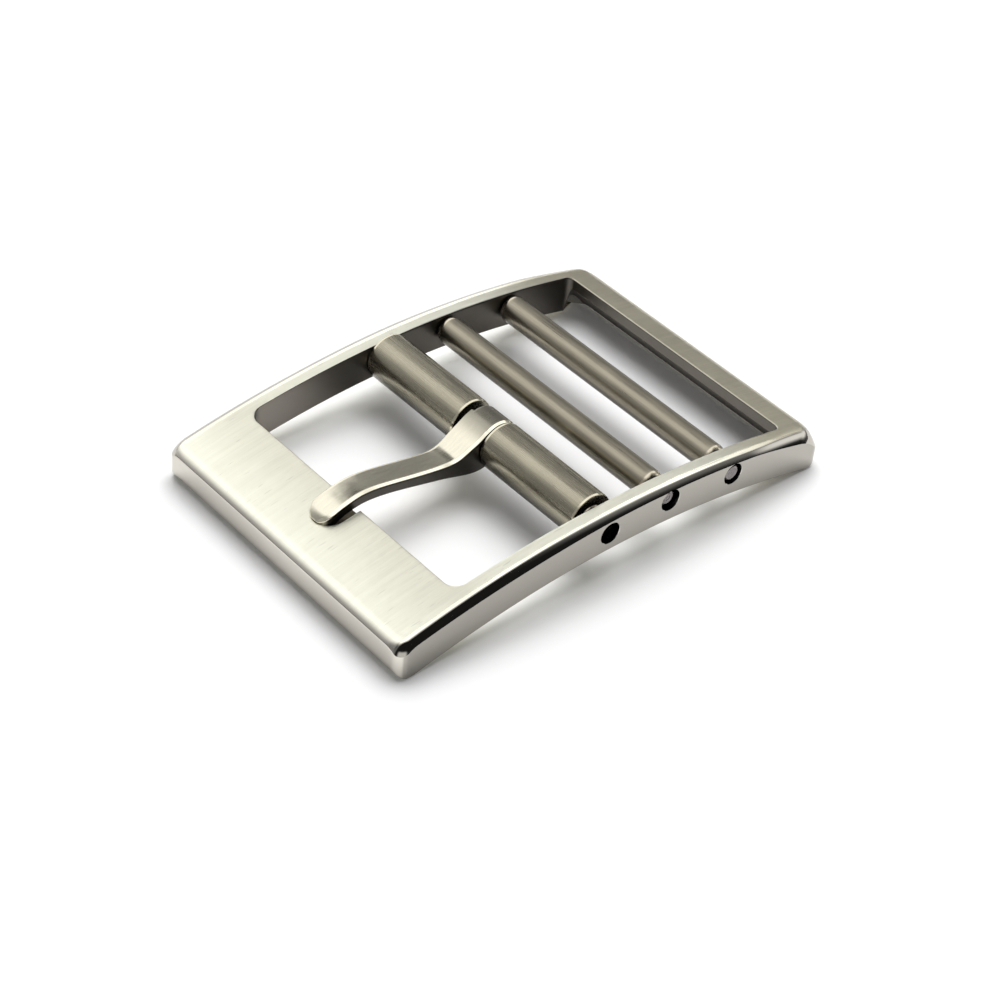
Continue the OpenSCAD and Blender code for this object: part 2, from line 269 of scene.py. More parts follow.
def make_object(name, points, faces):
    """A mesh object from points in millimetres and lists of faces, turned so that its faces point outwards.
    The sign of the enclosed volume, the sum of the triangles' triple products, says which way they point."""
    points = np.asarray(points, float)
    volume = 0.0
    for f in faces:
        for k in range(1, f.shape[1] - 1):
            a, b, c = points[f[:, 0]], points[f[:, k]], points[f[:, k + 1]]
            volume += np.einsum("ij,ij->i", a, np.cross(b, c)).sum()
    if volume < 0:
        faces = [f[:, ::-1] for f in faces]
    mesh = bpy.data.meshes.new(name)
    mesh.from_pydata((points * MM).tolist(), [], [row for f in faces for row in f.tolist()])
    mesh.validate()
    mesh.update()
    return linked(name, mesh)


def quad_faces(rows, columns, loop):
    """Quads of a grid whose columns close on themselves; with loop its rows do too."""
    i = np.arange(rows if loop else rows - 1)[:, None]
    j = np.arange(columns)[None, :]
    i2, j2 = (i + 1) % rows, (j + 1) % columns
    corners = [i * columns + j, i2 * columns + j, i2 * columns + j2, i * columns + j2]
    return np.stack(corners, -1).reshape(-1, 4)


def skin(name, rings, loop=False):
    """One closed surface through a row of closed rings, an array of rings by points by three.
    With loop the last ring joins the first; otherwise a fan to the ring's mean point closes each end."""
    rings = np.asarray(rings, float)
    rows, columns = rings.shape[:2]
    points = rings.reshape(-1, 3)
    faces = [quad_faces(rows, columns, loop)]
    if not loop:
        j = np.arange(columns)
        following = (j + 1) % columns
        first, last = len(points), len(points) + 1
        points = np.vstack([points, rings[0].mean(0), rings[-1].mean(0)])
        faces.append(np.stack([np.full(columns, first), j, following], -1))
        base = (rows - 1) * columns
        faces.append(np.stack([np.full(columns, last), base + following, base + j], -1))
    return make_object(name, points, faces)


def lathe(name, profile, bar, count, loop=False):
    """A profile of (x, radius) turned about a bar's axis:
    the point at angle a is (x, axis y + radius cos a, axis z + radius sin a)."""
    axis_y, axis_z = bar_axis(bar)
    profile = np.asarray(profile, float)
    a = np.linspace(0, 2 * np.pi, count, endpoint=False)
    x = np.repeat(profile[:, :1], count, 1)
    r = profile[:, 1:2]
    return skin(name, np.stack([x, axis_y + r * np.cos(a), axis_z + r * np.sin(a)], -1), loop)


def arc(centre, radius, start, end, count):
    """Points of a circle's arc in the plane, angles in degrees."""
    a = np.radians(np.linspace(start, end, count))
    return np.stack([centre[0] + radius * np.cos(a), centre[1] + radius * np.sin(a)], -1)


def smooth_step(low, high, value):
    """0 below low, 1 above high, and the cubic 3t^2 - 2t^3 between."""
    t = np.clip((value - low) / (high - low), 0, 1)
    return t * t * (3 - 2 * t)


def through(points, count):
    """A smooth curve through given points: a natural cubic spline of each coordinate over the
    running length of the straight lines between the points, sampled at even steps of that length."""
    points = np.asarray(points, float)
    run = np.concatenate([[0], np.cumsum(np.linalg.norm(np.diff(points, axis=0), axis=1))])
    h = np.diff(run)
    n = len(points)
    m = np.eye(n)
    inner = np.arange(1, n - 1)
    m[inner, inner - 1] = h[:-1]
    m[inner, inner] = 2 * (h[:-1] + h[1:])
    m[inner, inner + 1] = h[1:]
    right = np.zeros_like(points)
    slope = np.diff(points, axis=0) / h[:, None]
    right[1:-1] = 3 * np.diff(slope, axis=0)
    bend = np.linalg.solve(m, right)
    at = np.linspace(0, run[-1], count)
    k = np.clip(np.searchsorted(run, at, side="right") - 1, 0, n - 2)
    d = (at - run[k])[:, None]
    first = slope[k] - h[k][:, None] * (2 * bend[k] + bend[k + 1]) / 3
    third = (bend[k + 1] - bend[k]) / (3 * h[k][:, None])
    return points[k] + first * d + bend[k] * d * d + third * d ** 3


def finish_mesh(obj, sharp_angle, weighted=False):
    """Smooth shading with sharp edges where faces meet at more than that angle in degrees."""
    obj.data.shade_smooth()
    obj.data.set_sharp_from_angle(angle=math.radians(sharp_angle))
    if weighted:
        normals = obj.modifiers.new("face weighted normals", "WEIGHTED_NORMAL")
        normals.keep_sharp = True
        normals.weight = 60


def cut(obj, cutters):
    """Takes the cutters' space out of obj, and deletes the cutters."""
    for c in cutters:
        modifier = obj.modifiers.new("cut " + c.name, "BOOLEAN")
        modifier.operation = "DIFFERENCE"
        modifier.solver = "EXACT"
        modifier.object = c
    bpy.context.view_layer.update()
    deps = bpy.context.evaluated_depsgraph_get()
    result = bpy.data.meshes.new_from_object(obj.evaluated_get(deps))
    obj.modifiers.clear()
    old = obj.data
    obj.data = result
    result.name = obj.name
    bpy.data.meshes.remove(old)
    for c in cutters:
        data = c.data
        bpy.data.objects.remove(c)
        bpy.data.meshes.remove(data)


def join(first, other):
    """The other's faces become part of the first object's mesh, with their smooth and sharp edges."""
    both = [first, other]
    with bpy.context.temp_override(active_object=first, object=first,
                                   selected_objects=both, selected_editable_objects=both):
        bpy.ops.object.join()


def stand_for(obj, node, material, moved_by=None):
    """The piece takes the CAD node's place, gets its material and rides on the node's body. Where another
    node moves one end of it, the piece is left fixed in the world instead and rides on no body."""
    obj.data.materials.clear()
    obj.data.materials.append(material)
    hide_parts(node)
    body = frame["nodes"][node]["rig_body"]
    if moved_by:
        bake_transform(obj)
    else:
        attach(obj, body)


# Materials


class Socket:
    """A node's output that Python operators turn into Math nodes."""

    def __init__(self, tree, value):
        self.tree, self.value = tree, value

    def math(self, operation, *others):
        return self.tree.node("Math", [self, *others], operation=operation)

    def rise(self, low, high):
        """0 below low, 1 above high and smooth between."""
        limits = {"Value": self, "From Min": low, "From Max": high}
        return self.tree.node("MapRange", limits, interpolation_type="SMOOTHSTEP")

    def fall(self, low, high):
        """1 below low, 0 above high and smooth between."""
        return 1 - self.rise(low, high)

    def band(self, start, full, fade, end):
        """0 below start, 1 from full to fade, 0 above end and smooth between."""
        return self.rise(start, full) * self.fall(fade, end)

    def __add__(self, other):
        return self.math("ADD", other)

    def __mul__(self, other):
        return self.math("MULTIPLY", other)

    def __sub__(self, other):
        return self.math("SUBTRACT", other)

    def __rsub__(self, other):
        return self.tree.node("Math", [other, self], operation="SUBTRACT")

    __radd__ = __add__
    __rmul__ = __mul__


class Tree:
    """A material's or world's nodes, made by one method and joined by Socket expressions."""

    def __init__(self, owner):
        self.owner = owner
        owner.use_nodes = True
        self.nodes, self.links = owner.node_tree.nodes, owner.node_tree.links
        self.nodes.clear()

    def node(self, kind, inputs=(), output=0, **settings):
        """A node with its settings, its inputs as numbers or Sockets, and one of its outputs as a Socket."""
        made = self.nodes.new("ShaderNode" + kind)
        for key, value in settings.items():
            setattr(made, key, value)
        for key, value in inputs.items() if isinstance(inputs, dict) else enumerate(inputs):
            if isinstance(value, Socket):
                self.links.new(value.value, made.inputs[key])
            else:
                made.inputs[key].default_value = value
        return Socket(self, made.outputs[output] if len(made.outputs) else None)

    def split(self, vector):
        """X, Y and Z of a vector."""
        return [Socket(self, out) for out in self.node("SeparateXYZ", [vector]).value.node.outputs]

    def noise(self, place, size, detail=2.0, rough=0.5):
        """Noise from 0 to 1 with features of that size in millimetres, or of one size for each axis."""
        scale = [1 / v for v in np.broadcast_to(size, 3)]
        spread = self.node("Mapping", {"Vector": place, "Scale": scale})
        settings = {"Vector": spread, "Scale": 1.0, "Detail": detail, "Roughness": rough}
        return self.node("TexNoise", settings)

    def mix(self, share, a, b):
        """Colour a where share is 0 and b where it is 1."""
        a, b = (v if isinstance(v, Socket) else (*v, 1) for v in (a, b))
        return self.node("Mix", {0: share, 6: a, 7: b}, 2, data_type="RGBA")

    def shade(self, share, metal, low, high):
        """The metal's colour times low where share is 0 and times high where it is 1."""
        return self.mix(share, tone(metal, low), tone(metal, high))

    def paint(self, base, *layers):
        """The base colour under a row of layers, each of them a share and a colour."""
        for share, over in layers:
            base = self.mix(share, base, over)
        return base


def tone(value, factor):
    """A colour times a number."""
    return tuple(min(1.0, c * factor) for c in value)


def steel(name):
    """A new material's tree, its object-space place in millimetres, and the normal's X, Y and Z."""
    tree = Tree(bpy.data.materials.new(name))
    place = tree.node("Mapping", {"Vector": tree.node("TexCoord", output="Object"), "Scale": (1 / MM,) * 3})
    return tree, place, tree.split(tree.node("NewGeometry", output="Normal"))


def close(tree, base, rough, height, depth):
    """The tree's material, given a metal's shader with the height as bumps of that depth in millimetres."""
    bump = tree.node("Bump", {"Strength": 1.0, "Distance": depth * MM, "Height": height})
    metal = {"Base Color": base, "Roughness": rough, "Metallic": 1.0, "Normal": bump}
    tree.node("OutputMaterial", {"Surface": tree.node("BsdfPrincipled", metal)})
    return tree.owner


def from_axes(y, z):
    """Distance to the nearest of the three bars' axes: the least of the three square roots of dy^2 + dz^2."""
    near = None
    for axis_y, axis_z in map(bar_axis, BARS):
        dy, dz = y - axis_y, z - axis_z
        r = (dy * dy + dz * dz).math("SQRT")
        near = r if near is None else near.math("MINIMUM", r)
    return near


def frame_steel(shape, s):
    """Brushed along Y on top and polished on the rolls, sides and front face. Painted shade darkens the
    window's walls, the holes, the seat's floor, the outer sides and the rear bar, and a painted highlight
    lies on the rolls' upper part.
    The brush marks are grooves fine enough to spread a reflection sideways, as they do on the real steel."""
    f = shape.f
    tree, place, (nx, ny, nz) = steel("frame steel")
    x, y, z = tree.split(place)
    side, lean, up = (v.math("ABSOLUTE") for v in (x, nx, nz))
    wall, front, rear = shape.window_half_w, shape.window_front, shape.window_rear

    # Marks of the brush, scratches and the slow change of the shine
    fine = tree.noise(place, (s.brush_w, s.brush_l, s.brush_l), 3.0, 0.6)
    broad = tree.noise(place, (0.35, 7.0, 7.0))
    cloud = tree.noise(place, 5.56, 3.0)
    smear = tree.noise(place, 11.1, 4.0)
    scratch = tree.noise(place, (0.12, 1.4, 2.5), 1.0).rise(0.70, 0.78)
    lines = ((fine - 0.5) * 0.5 + (broad - 0.5) * 0.45 + (cloud - 0.5) * 0.25).rise(-0.3, 0.3)

    # Where the brush marks end, with a wandering edge, and where the top's bright colour ends. That colour
    # follows the normal, so it also lies on the polished roll's upper part as a painted highlight
    roll = shape.half_w - 0.72
    wander = (tree.noise(place, 2.0, 3.0) - 0.5) * 0.22
    on_top = (side + wander).fall(roll - 0.05, roll + 0.1) * up.rise(0.45, 0.7)
    pale = lean.fall(0.22, 0.40) * up.rise(0.68, 0.91)

    # Painted shade on the window's walls with the slope under the rear bar, in the holes and on the floor of
    # the seat
    slope_end = rear + 0.81 * f.rear_slope
    raw = side.fall(wall + 0.03, wall + 0.1) * y.band(front - 0.1, front - 0.03, slope_end, slope_end + 0.1)
    raw = raw * nz.fall(0.3, 0.65)
    bore_shade = from_axes(y, z).fall(f.mouth_r + 0.005, f.mouth_r + 0.02) * side.rise(wall + 0.02, wall + 0.05)
    seat_end = front - f.seat_end
    seat_slope = (shape.crown(front) - shape.crown(seat_end)) / f.seat_end
    deep = shape.crown(front) + (y - front) * seat_slope - z
    seat = deep.rise(0.05, 0.11) * side.fall(f.seat_half_w + 0.02, f.seat_half_w + 0.06)
    seat = seat * y.band(seat_end - 0.1, seat_end, front, front + 0.05)

    # The brushed top is coloured lighter towards the plate's front and over the rails, and darker over the
    # rear bar and the rails' rear ends as painted shade
    brushed = tree.paint(
        tree.shade(lines, s.brushed, 0.9, 1.06),
        (y.fall(shape.front + 0.6, shape.front + 5.0), tree.shade(lines, s.brushed, 1.02, 1.19)),
        (y.rise(front, front + 3.0), tree.shade(lines, s.brushed, 1.04, 1.2)),
        (y.rise(rear - 9.3, rear), tree.shade(lines, s.rear, 0.9, 1.1)),
        (scratch * 0.4, tone(s.brushed, 0.6)))
    polished = tree.paint(
        tree.shade(smear.rise(0.3, 0.7), s.polished, 0.93, 1.07),
        # Painted shade: the outer sides are coloured darker than the front face
        (lean.rise(0.8, 0.93), tone(s.polished, 0.62)))
    # Painted shade on the rails' inner walls: lighter near the plate, darker further back
    rail_wall_shade = tree.paint(
        tree.shade(smear, s.raw, 0.9, 1.4),
        (y.rise(front + 0.85, front + 8.85), tree.shade(smear, s.raw, 0.4, 0.65)))
    base = tree.paint(
        polished,
        # The brushed colour on the top, and on the roll's upper part as a painted highlight
        (pale, brushed),
        # Painted shade on the seat's floor under the tang's tip
        (seat, tone(s.raw, 0.5)),
        # Painted shade on the window's walls
        (raw, tree.shade(smear, s.raw, 0.5, 0.9)),
        (raw * lean.rise(0.4, 0.8), rail_wall_shade),
        # Painted shade inside the rail holes
        (bore_shade, tree.shade(smear, s.bore, 0.7, 1.3)))
    rough = on_top * 0.22 + 0.085 + (smear - 0.5) * 0.04 + on_top * (fine - 0.5) * 0.1 + raw * 0.3
    return close(tree, base, rough, (fine * 0.9 + broad * 0.2) * on_top, s.brush_d)


def drawn_steel(name, metal, gloss, streak, spots=0.0):
    """Satin steel with streaks along X round a bar or tube, as fine across as streak says. The rims are
    smoother and carry a painted highlight, and the underside carries painted shade."""
    tree, place, (nx, ny, nz) = steel(name)
    fine = tree.noise(place, (3.0, streak, streak), 3.0, 0.6)
    long = tree.noise(place, (9.0, 3 * streak, 3 * streak))
    cloud = tree.noise(place, 2.86, 3.0)
    marks = tree.noise(place, (0.667, 0.25, 0.25)).rise(0.68, 0.76)
    lines = (fine - 0.5) * 0.6 + (long - 0.5) * 0.2 + (cloud - 0.5) * 0.3
    # The rims: smoother, with a painted highlight in their colour
    wear_and_sheen = nx.math("ABSOLUTE").band(0.1, 0.18, 0.55, 0.75)
    base = tree.paint(
        tree.shade(lines.rise(-0.3, 0.3), metal, 0.8, 1.14),
        # Painted highlight on the rims
        (wear_and_sheen, tone(metal, 1.75)),
        # Painted shade on the underside
        (nz.fall(-0.25, 0.45), tone(metal, 0.3)),
        (marks * spots, tone(metal, 0.55)))
    rough = gloss + (fine - 0.5) * 0.12 + (cloud - 0.5) * 0.06 - wear_and_sheen * 0.1
    return close(tree, base, rough, fine, 0.004)


def tang_steel(s):
    """Polished steel with faint wipe marks and a slightly uneven shine. Over the knuckle, apart from the
    bevel, it turns rougher with its colour darkened as painted shade; the bevel has a painted highlight, and
    the tang's sides are darkened as painted shade."""
    tree, place, (nx, ny, nz) = steel("tang steel")
    x, y, z = tree.split(place)
    smear = tree.noise(place, (3.85, 6.25, 3.85), 4.0)
    wipe = tree.noise(place, (0.16, 2.2, 0.5))
    dent = tree.noise(place, 1.1, 1.0)
    knuckle_y = bar_axis("tang_bar")[0]
    satin_and_shade = (y + (smear - 0.5) * 0.5).rise(knuckle_y - 2.2, knuckle_y - 0.5) * nx.fall(0.08, 0.2)
    # The tang's sides, which get painted shade and more roughness
    raw = nx.math("ABSOLUTE").rise(0.62, 0.9)
    base = tree.paint(
        tree.shade((smear * 0.6 + wipe * 0.4).rise(0.25, 0.75), s.tang, 0.93, 1.07),
        # Painted shade: the knuckle's colour is darkened where it turns rougher
        (satin_and_shade, tone(s.tang, 0.36)),
        # Painted highlight on the bevel
        (nx.band(0.15, 0.21, 0.36, 0.5), tone(s.tang, 1.25)),
        # Painted shade on the tang's sides
        (raw, tree.shade(smear, s.raw, 0.1, 0.5)))
    rough = 0.17 + (smear - 0.5) * 0.08 + (wipe - 0.5) * 0.05 + raw * 0.15 + satin_and_shade * 0.12
    return close(tree, base, rough, dent + wipe * 0.04, 0.012)


def turned_steel(s):
    """Turned end faces: rings about each bar's own axis, with the bar picked by the nearest axis."""
    tree, place, normal = steel("turned tip steel")
    x, y, z = tree.split(place)
    rings = tree.noise(tree.node("CombineXYZ", {"X": from_axes(y, z)}), 0.05)
    wear_and_sheen = tree.noise(place, 0.4, 3.0)
    base = tree.shade((rings * 0.6 + wear_and_sheen * 0.4).rise(0.3, 0.7), s.tip, 0.7, 1.25)
    rough = 0.26 + (rings - 0.5) * 0.15 + (wear_and_sheen - 0.5) * 0.1
    return close(tree, base, rough, rings, 0.004)


# The frame


def rounded_loop(half_w, front, rear, r_front, r_rear, counts):
    """A rounded rectangle, counter-clockwise from the front edge's left end: points and outward normals.
    A side is the straight line between two corners' circles, a corner is a quarter of its circle.
    counts gives the steps of the front edge, a corner, a rail and the rear edge."""
    n_front, n_corner, n_rail, n_rear = counts
    p, q = half_w - r_front, half_w - r_rear
    low, high = front + r_front, rear - r_rear
    centres = np.array([(p, low), (q, high), (-q, high), (-p, low)])
    radii = (r_front, r_rear, r_rear, r_front)
    points, normals = [], []
    for k, steps in enumerate((n_front, n_rail, n_rear, n_rail)):
        turn = math.radians(90 * (k - 1))
        out = np.array([math.cos(turn), math.sin(turn)])
        start, end = (centres[i] + radii[i] * out for i in (k - 1, k))
        points.append(start + (end - start) * np.linspace(0, 1, steps, endpoint=False)[:, None])
        normals.append(np.tile(out, (steps, 1)))
        a = turn + np.linspace(0, math.pi / 2, n_corner, endpoint=False)[:, None]
        around = np.hstack([np.cos(a), np.sin(a)])
        points.append(centres[k] + radii[k] * around)
        normals.append(around)
    return np.vstack(points), np.vstack(normals)


class FrameShape:
    """Heights of the frame's top and underside, in millimetres, from its sizes."""

    # Places along Y between which the roll changes from the front's to the rear's, and grows at the corners
    roll_change = (-9.0, 1.0)
    roll_growth = (11.0, 17.6)
    roll_power = 2.3
    corner_power = 1.8

    def __init__(self, f):
        self.f = f
        self.half_w = FRAME_HIGH[0]
        self.front, self.rear = FRAME_LOW[1], FRAME_HIGH[1]
        self.crown_h = FRAME_HIGH[2]
        self.window_half_w = self.half_w - f.rail_w
        self.window_front = self.front + f.plate_l
        self.window_rear = self.rear - f.rear_l
        self.arch_h = self.crown_h - f.thickness
        self.arch_r = ((self.rear - f.foot_l) ** 2 + self.arch_h ** 2) / (2 * self.arch_h)
        self.nose_y, self.tail_y = self.front + f.nose_in, self.rear - f.tail_r
        self.nose_z, self.nose_end = self.touching(f.nose_r, self.nose_y)
        self.tail_z, self.tail_end = self.touching(f.tail_r, self.tail_y)

    def touching(self, r, y):
        """Z of the middle of a circle that touches the crown's circle from within, and the Y where the two
        touch. Its middle lies at y, and crown_r - r from the middle of the crown's circle."""
        f = self.f
        z = self.crown_h - f.crown_r + math.sqrt((f.crown_r - r) ** 2 - (y - f.crown_y) ** 2)
        return z, y + (y - f.crown_y) * r / (f.crown_r - r)

    def crown(self, y):
        """The arched top alone, a circle about a line along X."""
        f = self.f
        return self.crown_h - f.crown_r + np.sqrt(f.crown_r ** 2 - (y - f.crown_y) ** 2)

    def side_line(self, y):
        """The top seen from the side: the arch, with the nose's and the tail's circles at its ends,
        and a small circle that rounds the edge between the nose and the front face."""
        f, e = self.f, self.f.nose_edge_r
        half_circle = lambda r, d: np.sqrt(np.clip(r ** 2 - d ** 2, 0, None))
        nose = self.nose_z + half_circle(f.nose_r, y - self.nose_y)
        tail = self.tail_z + half_circle(f.tail_r, y - self.tail_y)
        edge_z = self.nose_z + half_circle(f.nose_r - e, f.nose_in - e)
        edge = edge_z + half_circle(e, y - self.front - e)
        edge_end = self.nose_y + (self.front + e - self.nose_y) * f.nose_r / (f.nose_r - e)
        z = np.where(y < self.nose_end, nose, self.crown(y))
        z = np.where(y < edge_end, edge, z)
        return np.where(y > self.tail_end, tail, z)

    def roll(self, x, y):
        """Fall of the polished roll towards the rail's side: its height times a power of the way across the
        roll's width. Both change from the front half of the rail to the rear half and grow towards the rear
        corners."""
        f = self.f
        share, end = smooth_step(*self.roll_change, y), smooth_step(*self.roll_growth, y)
        w = f.roll_front_w + (f.roll_rear_w - f.roll_front_w) * share + f.roll_end_w * end
        h = f.roll_front_h + (f.roll_rear_h - f.roll_front_h) * share + f.roll_end_h * end
        return h * np.clip((np.abs(x) - (self.half_w - w)) / w, 0, 1) ** self.roll_power

    def corner_drop(self, x, y):
        """Fall of the top towards the four corners: it grows with a power of how near a place is to the
        corner, measured as the sum of its distances from the side and from the end."""
        f, from_side = self.f, self.half_w - np.abs(x)
        drop = 0
        for from_end, fall, reach in ((y - self.front, f.front_corner_drop, f.front_corner_l),
                                      (self.rear - y, f.rear_corner_drop, f.rear_corner_l)):
            drop = drop + fall * np.clip(1 - (from_side + from_end) / reach, 0, 1) ** self.corner_power
        return drop

    def top(self, p):
        """The top at places seen from above: the side line less the roll and the corners' fall."""
        x, y = p[..., 0], p[..., 1]
        return self.side_line(y) - self.roll(x, y) - self.corner_drop(x, y)

    def under(self, p):
        """The underside: the arch, the flat feet and the circles that round the feet's ends."""
        y = p[..., 1]
        r = np.where(y < 0, self.f.foot_r, self.f.rear_foot_r)
        arch = np.clip(self.arch_h - self.arch_r + np.sqrt(self.arch_r ** 2 - y ** 2), 0, None)
        d = np.clip(np.abs(y) - (self.rear - r), 0, r)
        return arch + r - np.sqrt(r * r - d * d)


def frame_rings(shape):
    """The frame as a closed ring of closed sections. Each section starts at the outer lower edge, climbs the
    outer side to the crease, crosses the top to the window, goes down the window's wall and back underneath.
    Points across the top lie on straight lines from the outer outline to the window's outline."""
    f = shape.f
    counts = (90, 20, 170, 70)
    outer, out_n = rounded_loop(
        shape.half_w, shape.front, shape.rear, f.front_corner_r, f.rear_corner_r, counts)
    inner, in_n = rounded_loop(
        shape.window_half_w, shape.window_front, shape.window_rear, f.window_front_r, f.window_rear_r, counts)
    rows = []

    def add(plan, z):
        rows.append(np.concatenate([plan, z[:, None]], -1))

    # Outer lower edge, a quarter circle
    for a in np.radians(np.linspace(0, 90, 6)):
        plan = outer - out_n * f.under_r * (1 - math.sin(a))
        add(plan, shape.under(plan) + f.under_r * (1 - math.cos(a)))
    # Outer side up to the crease
    foot, crease = shape.under(outer) + f.under_r, shape.top(outer)
    for share in (0.02, 0.35, 0.7, 0.985, 1.0):
        add(outer, foot + (crease - foot) * share)
    # Top, with rows crowded towards the outer edge
    last = 1 - f.inner_r / np.linalg.norm(inner - outer, axis=1)[:, None]
    for share in np.linspace(0, 1, 58)[1:] ** 1.6:
        plan = outer + (inner - outer) * share * last
        add(plan, shape.top(plan))
    # Window's upper edge
    start = outer + (inner - outer) * last
    for a in np.radians(np.linspace(15, 90, 6)):
        plan = start + (inner - start) * math.sin(a)
        add(plan, shape.top(plan) - f.inner_r * (1 - math.cos(a)))
    # Window's wall, then its lower edge, which is a long slope under the rear bar
    slope = smooth_step(0.3, 1.0, in_n[:, 1:])
    edge_r, fall = f.under_r * (1 - slope), f.rear_slope * slope
    high = shape.top(inner) - f.inner_r
    low = shape.under(inner) + (edge_r + fall)[:, 0]
    for share in (0.03, 0.35, 0.7, 0.97):
        add(inner, high + (low - high) * share)
    for t in np.linspace(0, 1, 13):
        a = t * math.pi / 2
        plan = inner + in_n * (edge_r * (1 - math.cos(a)) + fall * t)
        add(plan, shape.under(plan) + (edge_r * (1 - math.sin(a)) + fall * (1 - t))[:, 0])
    # Underside back to the outer edge
    a, b = plan, outer - out_n * f.under_r
    for share in 1 - (1 - np.linspace(0, 1, 24)[1:-1]) ** 1.8:
        plan = a + (b - a) * share
        add(plan, shape.under(plan))
    return np.stack(rows, 1)


def hole_cutter(shape, bar, side):
    """The space of one rail hole: a narrow bore, a wide mouth and a small chamfer, turned about the bar's
    axis and reaching past the rail at both ends."""
    f, w, past = shape.f, shape.half_w, 0.3
    step, wide = w - f.mouth_l, f.mouth_r + f.mouth_chamfer
    profile = [(shape.window_half_w - past, f.bore_r), (step, f.bore_r), (step, f.mouth_r),
               (w - f.mouth_chamfer, f.mouth_r), (w, wide), (w + past, wide + past)]
    return lathe(f"hole {bar} {side}", [(side * x, r) for x, r in profile], bar, 72)


def seat_cutter(shape):
    """The space of the tang's seat: a stadium seen from above and open towards the window. Its floor is a
    straight slope with a small fillet, and a quarter circle rounds its wall over at the top."""
    f, r, fillet, past = shape.f, shape.f.seat_round, 0.04, 0.6
    w, end = f.seat_half_w, shape.window_front - f.seat_end
    a = np.radians(np.linspace(180, 360, 40))[:, None]
    around = np.hstack([np.cos(a), np.sin(a)])
    sides = np.array([(1, 0), (1, 0), (-1, 0), (-1, 0)])
    open_end = shape.window_front + past * np.array([0, 1, 1, 0])
    stadium = np.vstack([(0, end + w) + w * around, np.stack([w * sides[:, 0], open_end], -1)])
    out = np.vstack([around, sides])
    depth = f.seat_end_depth + (f.seat_depth - f.seat_end_depth) * (stadium[:, 1] - end) / f.seat_end
    levels = [(-fillet, -depth), (0, 0.6 * fillet - depth)]
    levels += [(r * (1 - math.cos(t)), -r * (1 - math.sin(t))) for t in np.radians(np.linspace(0, 90, 8))]
    levels.append((r, past))
    rings = []
    for grown, z in levels:
        plan = stadium + out * grown
        z = shape.crown(plan[:, 1]) + np.maximum(z, -depth)
        rings.append(np.concatenate([plan, z[:, None]], -1))
    return skin("seat", rings)


class BUCKLE_OT_frame(bpy.types.Operator):
    """Make the arched frame with its rolls, rail holes and the tang's seat"""

    bl_idname = "buckle.frame"
    bl_label = "Frame"

    def execute(self, context):
        shape = FrameShape(sizes("frame"))
        body = skin("frame_body", frame_rings(shape), loop=True)
        cutters = [hole_cutter(shape, bar, side) for bar in BARS for side in (-1, 1)]
        cut(body, cutters + [seat_cutter(shape)])
        finish_mesh(body, 26, weighted=True)
        stand_for(body, "frame", frame_steel(shape, sizes("finish")))
        return {"FINISHED"}


# The tang


def tang_lines(t, shape):
    """The prong's upper and lower line seen from the side, from the knuckle to the tip, as curves through
    listed points: the arm's as shares of the way to the plate and of the knuckle's radius,
    the tip's as shares of its reach over the plate and of its thickness."""
    ay, az = bar_axis("tang_bar")
    arm = ay - shape.window_front
    rise = shape.crown(shape.window_front) - az

    def on_arm(p, h):
        return (ay - p * arm, az + p * rise + h * t.knuckle_r)

    def on_tip(p, h):
        y = shape.window_front - p * t.tip_over
        return (y, shape.crown(y) + h * t.tip_t)

    upper = [on_arm(*p) for p in (
        (0.037, 0.958), (0.074, 0.857), (0.135, 0.591), (0.207, 0.311), (0.265, 0.085), (0.310, -0.018),
        (0.360, -0.042), (0.430, 0.005), (0.544, 0.125), (0.674, 0.283), (0.779, 0.410), (0.866, 0.490),
        (0.930, 0.513))]
    upper += [on_tip(*p) for p in (
        (0.000, 1.000), (0.240, 0.972), (0.510, 0.885), (0.740, 0.740), (0.905, 0.530), (0.985, 0.290))]
    lower = [on_arm(*p) for p in (
        (0.017, -0.700), (0.124, -0.900), (0.261, -0.815), (0.400, -0.610), (0.559, -0.369), (0.670, -0.200),
        (0.779, -0.057), (0.870, 0.028), (0.940, 0.052))]
    lower += [on_tip(*p) for p in (
        (0.112, 0.038), (0.300, -0.015), (0.478, -0.109), (0.620, -0.225), (0.740, -0.270), (0.830, -0.220),
        (0.905, -0.060), (0.985, 0.060))]
    return through(upper, 1200), through(lower, 1200)


